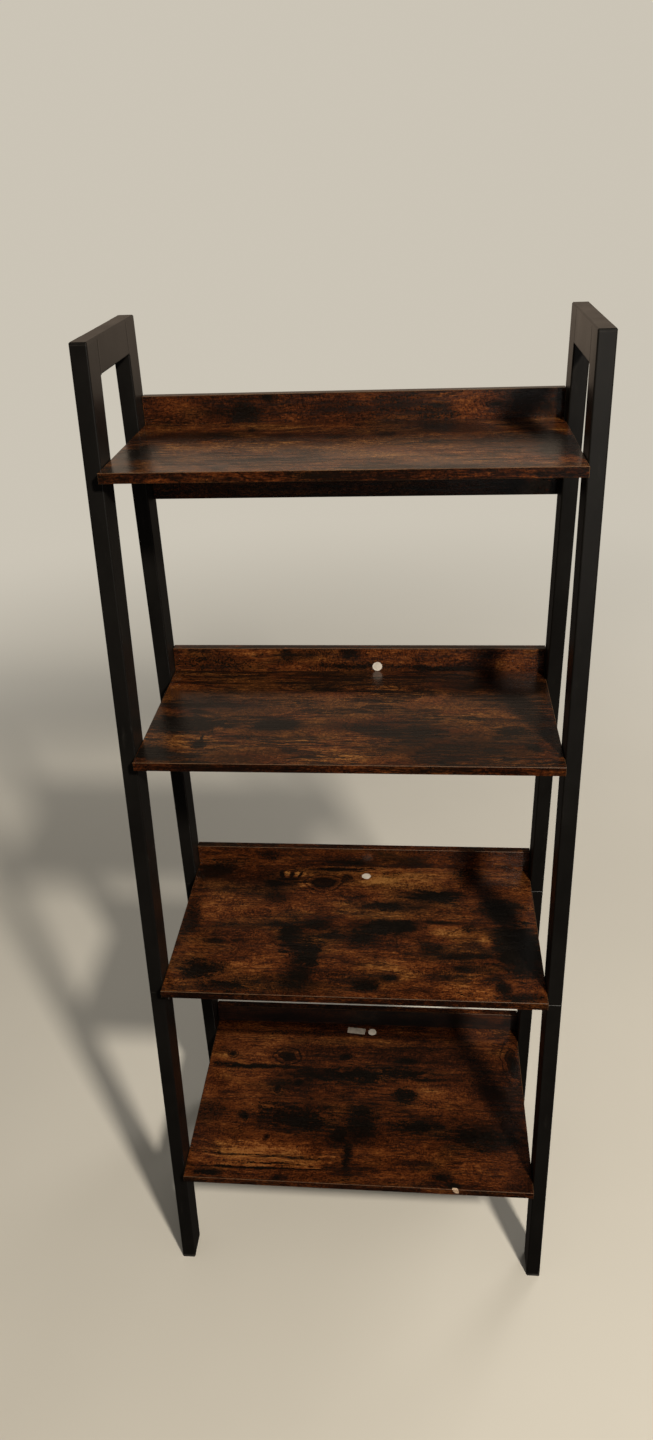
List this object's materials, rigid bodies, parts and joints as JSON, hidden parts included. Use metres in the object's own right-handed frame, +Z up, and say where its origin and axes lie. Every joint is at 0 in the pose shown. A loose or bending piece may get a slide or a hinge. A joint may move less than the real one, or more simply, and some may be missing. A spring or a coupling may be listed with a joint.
{
  "type": "ladder shelf",
  "caption": "Free-standing open shelf with leaning black steel side frames and rustic wood-print boards that grow deeper towards the floor, each with a low backboard.",
  "frame": {"origin": "on the floor, under the middle of the shelf's bounding box", "axes": "+Z up, -Y towards the front where the shelves are reached, +X to the right as seen from the front"},
  "size_m": [0.566, 0.332, 1.375],
  "materials": {
    "black_steel": "matte black powder coat",
    "rustic_board": "satin rustic brown wood print with dark knots and smears",
    "edge_band": "wood-print edge band",
    "foot_plastic": "moulded black plastic",
    "zinc_steel": "zinc plated"
  },
  "bodies": {
    "root": {"backboard_edge_bands": "edge_band", "backboard_screws": "zinc_steel", "bottom_backboard": "rustic_board", "bottom_left_back_shelf_tab": "black_steel", "bottom_left_backboard_tab": "black_steel", "bottom_left_front_shelf_tab": "black_steel", "bottom_right_back_shelf_tab": "black_steel", "bottom_right_backboard_tab": "black_steel", "bottom_right_front_shelf_tab": "black_steel", "bottom_shelf": "rustic_board", "left_back_foot": "foot_plastic", "left_back_lower_post": "black_steel", "left_back_sleeve": "zinc_steel", "left_back_top_plate": "black_steel", "left_back_upper_post": "black_steel", "left_front_foot": "foot_plastic", "left_front_lower_post": "black_steel", "left_front_sleeve": "zinc_steel", "left_front_top_plate": "black_steel", "left_front_upper_post": "black_steel", "left_top_rail": "black_steel", "lower_backboard": "rustic_board", "lower_left_back_shelf_tab": "black_steel", "lower_left_backboard_tab": "black_steel", "lower_left_front_shelf_tab": "black_steel", "lower_right_back_shelf_tab": "black_steel", "lower_right_backboard_tab": "black_steel", "lower_right_front_shelf_tab": "black_steel", "lower_shelf": "rustic_board", "right_back_foot": "foot_plastic", "right_back_lower_post": "black_steel", "right_back_sleeve": "zinc_steel", "right_back_top_plate": "black_steel", "right_back_upper_post": "black_steel", "right_front_foot": "foot_plastic", "right_front_lower_post": "black_steel", "right_front_sleeve": "zinc_steel", "right_front_top_plate": "black_steel", "right_front_upper_post": "black_steel", "right_top_rail": "black_steel", "shelf_edge_bands": "edge_band", "sleeve_screws": "zinc_steel", "tab_screws": "zinc_steel", "top_backboard": "rustic_board", "top_left_back_shelf_tab": "black_steel", "top_left_backboard_tab": "black_steel", "top_left_front_shelf_tab": "black_steel", "top_right_back_shelf_tab": "black_steel", "top_right_backboard_tab": "black_steel", "top_right_front_shelf_tab": "black_steel", "top_shelf": "rustic_board", "upper_backboard": "rustic_board", "upper_left_back_shelf_tab": "black_steel", "upper_left_backboard_tab": "black_steel", "upper_left_front_shelf_tab": "black_steel", "upper_right_back_shelf_tab": "black_steel", "upper_right_backboard_tab": "black_steel", "upper_right_front_shelf_tab": "black_steel", "upper_shelf": "rustic_board"}
  },
  "joints": []
}
